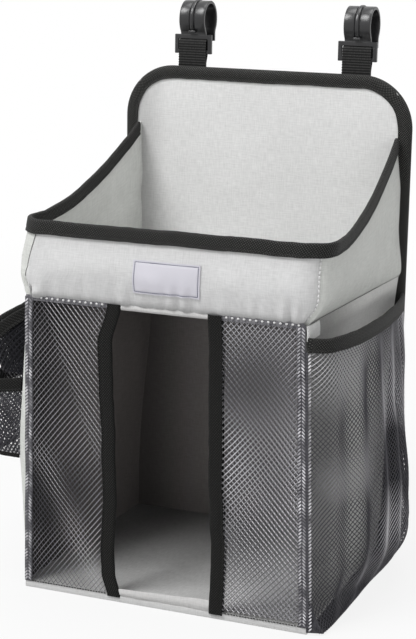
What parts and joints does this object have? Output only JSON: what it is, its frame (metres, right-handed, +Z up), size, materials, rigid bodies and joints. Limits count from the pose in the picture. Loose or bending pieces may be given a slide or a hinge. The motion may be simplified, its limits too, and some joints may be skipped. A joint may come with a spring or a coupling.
{
  "type": "changing table organizer",
  "caption": "Hanging fabric organizer with an open top bin, a mesh-fronted compartment, mesh side pockets and hinged rail hooks on webbing straps.",
  "frame": {"origin": "on the floor under the middle of the body", "axes": "+Z up, the open front faces -Y, +X to the right of someone facing it"},
  "size_m": [0.363, 0.2835, 0.5264],
  "materials": {
    "cloth": "light grey heather cloth, fine plain weave, matt",
    "side_cloth": "mid grey heather cloth, fine plain weave, matt",
    "lining": "grey lining cloth, matt",
    "binding": "black twill tape, folded over the edge",
    "webbing": "black ribbed webbing",
    "net": "dark grey knitted net with a slight shine",
    "board": "plain stiffening board",
    "label": "smooth woven patch, bare",
    "hook_plastic": "black moulded plastic with a soft shine"
  },
  "bodies": {
    "bag": {"back_panel_face": "cloth", "back_panel_board": "board", "back_panel_rear": "side_cloth", "back_panel_binding": "binding", "bin_front_band": "cloth", "bin_left_side": "side_cloth", "bin_right_side": "side_cloth", "rim_binding": "binding", "label_patch": "label", "bin_floor": "lining", "shelf_board": "board", "shelf_underside": "lining", "front_left_mesh": "net", "opening_binding_left": "binding", "front_left_corner_fold": "net", "front_right_mesh": "net", "opening_binding_right": "binding", "front_right_corner_fold": "net", "front_header": "cloth", "front_lip": "cloth", "left_side_panel": "side_cloth", "right_side_panel": "side_cloth", "base_cover": "cloth", "base_board": "board", "floor_cloth": "lining", "right_pocket_mesh": "net", "right_pocket_binding": "binding", "left_upper_pocket_mesh": "net", "left_upper_pocket_binding": "binding", "left_lower_pocket_mesh": "net", "left_lower_pocket_binding": "binding", "left_lower_pocket_hem": "binding", "left_strap_tail": "webbing", "right_strap_tail": "webbing"},
    "left_loop": {"left_strap": "webbing"},
    "left_rail_hook": {"left_hook": "hook_plastic"},
    "right_loop": {"right_strap": "webbing"},
    "right_rail_hook": {"right_hook": "hook_plastic"}
  },
  "joints": [
    {"name": "left_strap_fold", "type": "hinge", "parent": "bag", "child": "left_loop", "pos_m": [-0.0795, 0.12343, 0.46492], "axis": [1, 0, 0], "range_deg": [-75, 90]},
    {"name": "left_hook_pivot", "type": "hinge", "parent": "left_loop", "child": "left_rail_hook", "pos_m": [-0.0795, 0.1257, 0.47642], "axis": [1, 0, 0], "range_deg": [-45, 45]},
    {"name": "right_strap_fold", "type": "hinge", "parent": "bag", "child": "right_loop", "pos_m": [0.0875, 0.12343, 0.46492], "axis": [1, 0, 0], "range_deg": [-75, 90]},
    {"name": "right_hook_pivot", "type": "hinge", "parent": "right_loop", "child": "right_rail_hook", "pos_m": [0.0875, 0.1257, 0.47642], "axis": [1, 0, 0], "range_deg": [-45, 45]}
  ]
}
